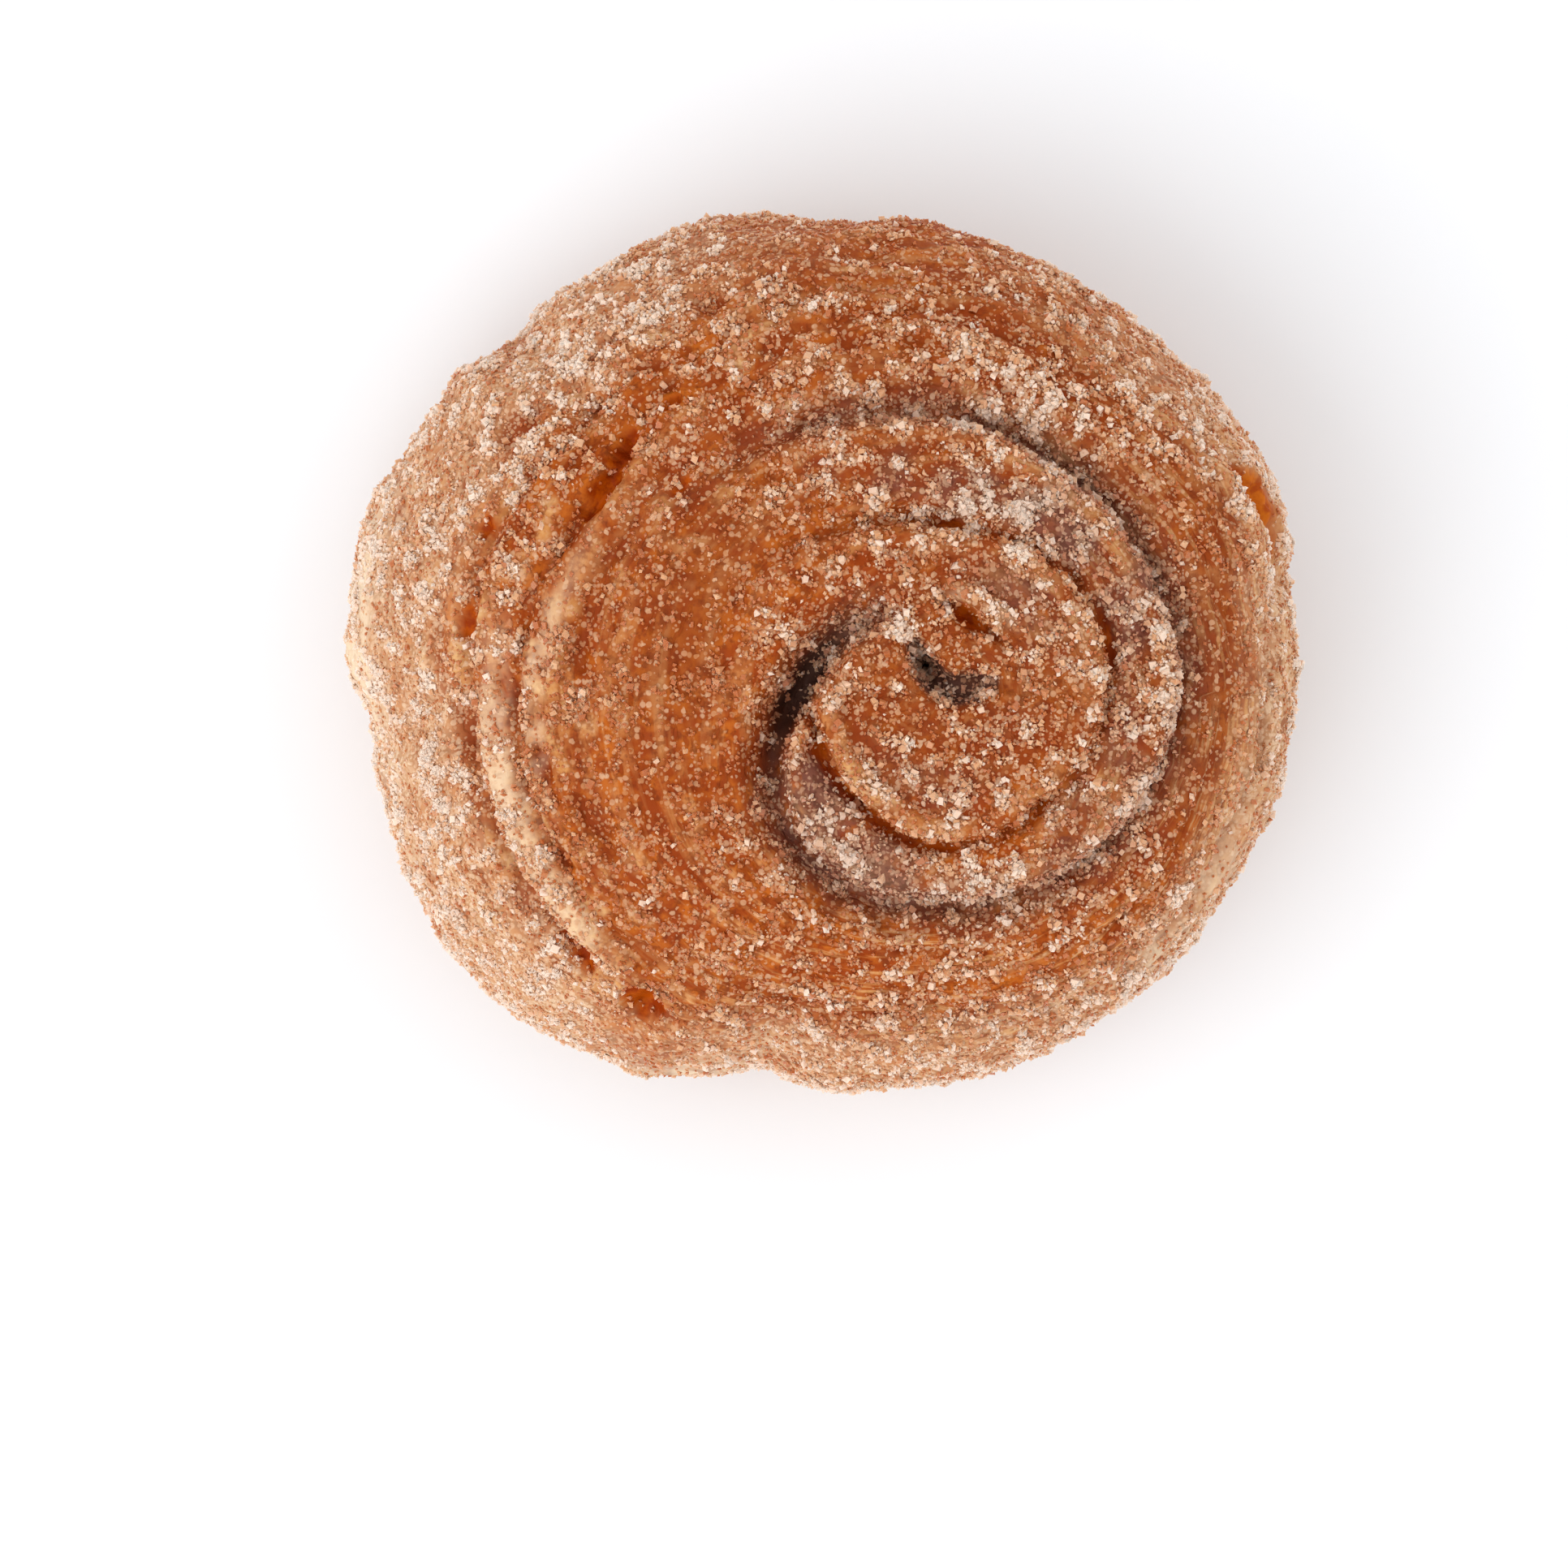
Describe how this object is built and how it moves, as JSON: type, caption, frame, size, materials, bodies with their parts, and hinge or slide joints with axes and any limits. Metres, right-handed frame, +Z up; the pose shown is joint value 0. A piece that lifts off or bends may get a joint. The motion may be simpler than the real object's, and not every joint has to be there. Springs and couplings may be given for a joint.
{
  "type": "morning bun",
  "caption": "Round morning bun of laminated dough with an off-centre swirl, deep cinnamon creases and a sugared crust.",
  "frame": {"origin": "middle of the bun's outline, at the level of its flat underside", "axes": "+X along the bun's longest width, towards the swirl's side; +Z up, out of the swirl"},
  "size_m": [0.1084, 0.0998, 0.054],
  "materials": {
    "crust": "baked, sugared, matte with a slight sheen in the creases"
  },
  "bodies": {
    "root": {"morning_bun": "crust"}
  },
  "joints": []
}
